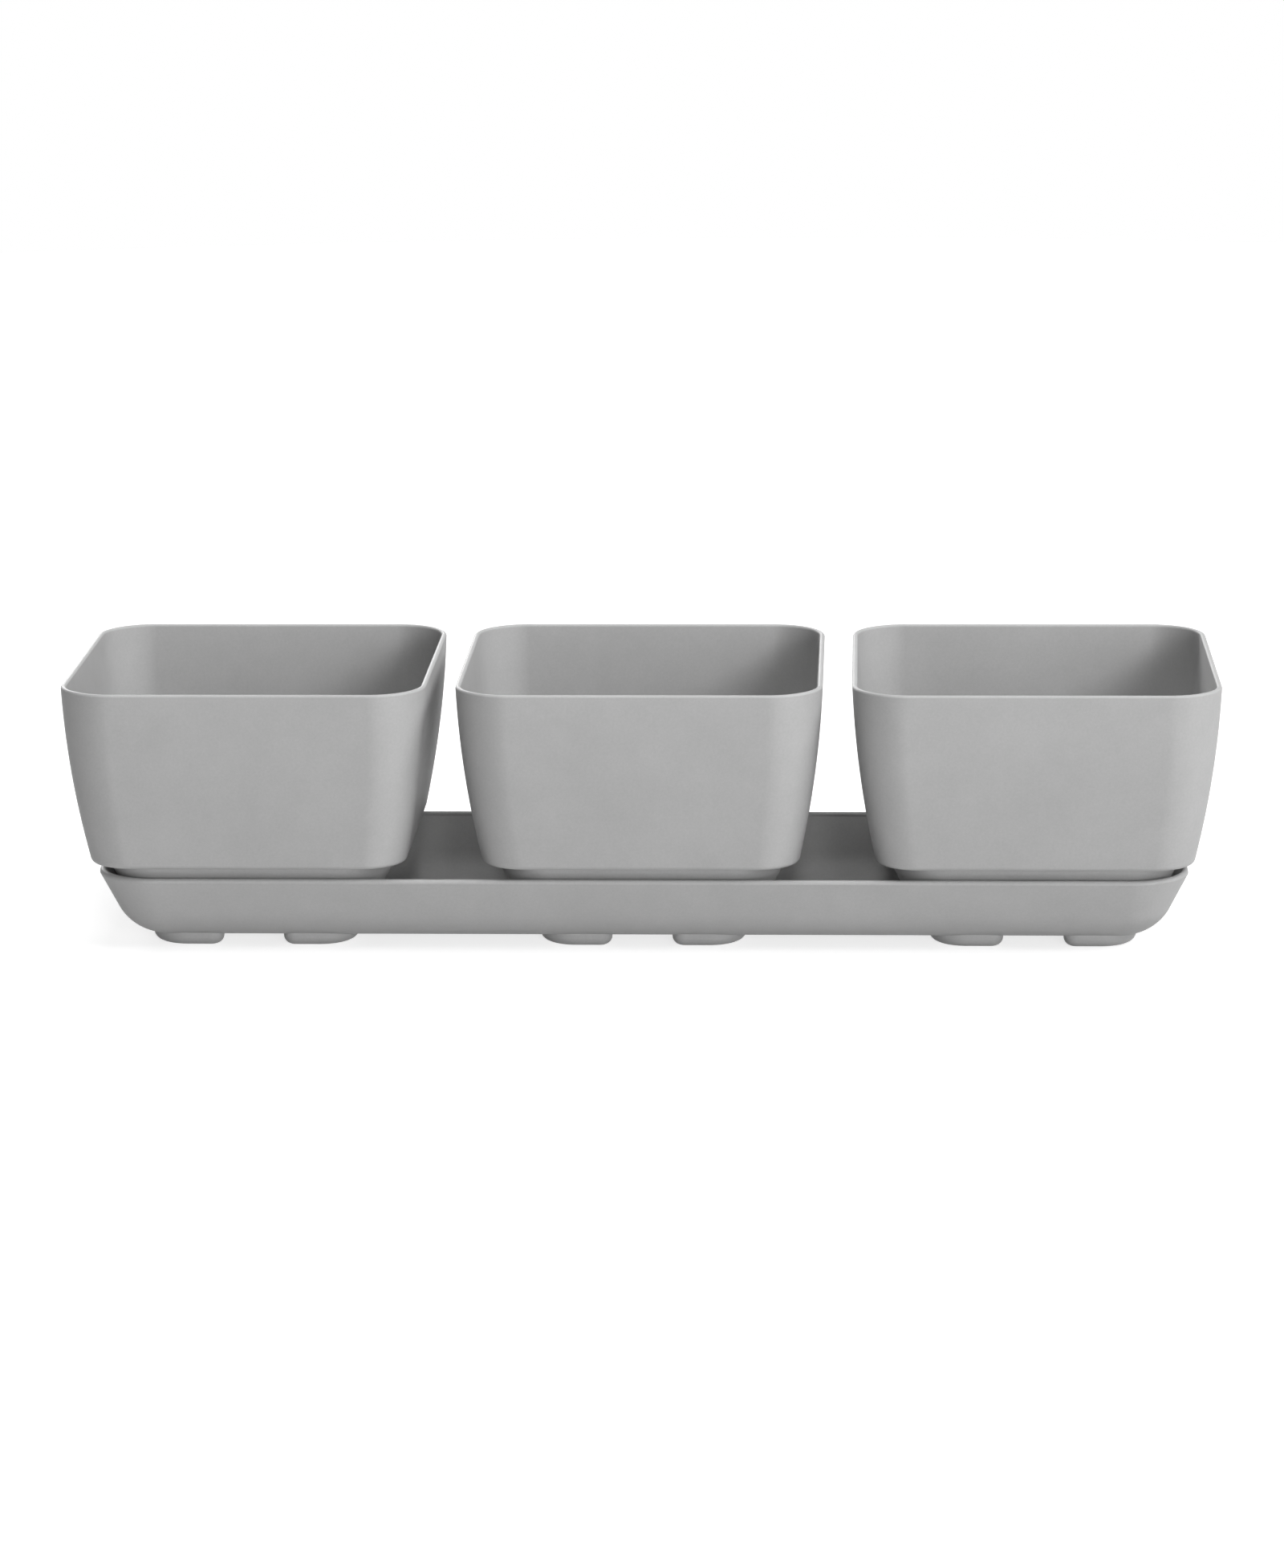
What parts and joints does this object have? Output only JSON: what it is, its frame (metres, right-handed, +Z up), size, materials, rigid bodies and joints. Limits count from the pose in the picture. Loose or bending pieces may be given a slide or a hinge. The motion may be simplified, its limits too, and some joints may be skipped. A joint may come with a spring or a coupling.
{
  "type": "indoor herb planter",
  "caption": "Row of square round-cornered plastic pots with drained floors and stepped feet, standing on one long flared drip tray with small moulded feet.",
  "frame": {"origin": "on the surface that the planter stands on, under the centre of the middle pot", "axes": "+X along the row of pots, +Y towards the back, +Z up"},
  "size_m": [0.3994, 0.1264, 0.0954],
  "materials": {
    "tray_plastic": "fine matt moulded texture, mid grey",
    "pot_plastic": "fine matt moulded texture, mid grey"
  },
  "bodies": {
    "tray": {"tray": "tray_plastic"},
    "pot_left": {"pot_left": "pot_plastic"},
    "pot_middle": {"pot_middle": "pot_plastic"},
    "pot_right": {"pot_right": "pot_plastic"}
  },
  "joints": [
    {"name": "pot_left_lift", "type": "slide", "parent": "tray", "child": "pot_left", "axis": [0, 0, 1], "range_m": [0, 0.12]},
    {"name": "pot_middle_lift", "type": "slide", "parent": "tray", "child": "pot_middle", "axis": [0, 0, 1], "range_m": [0, 0.12]},
    {"name": "pot_right_lift", "type": "slide", "parent": "tray", "child": "pot_right", "axis": [0, 0, 1], "range_m": [0, 0.12]}
  ]
}
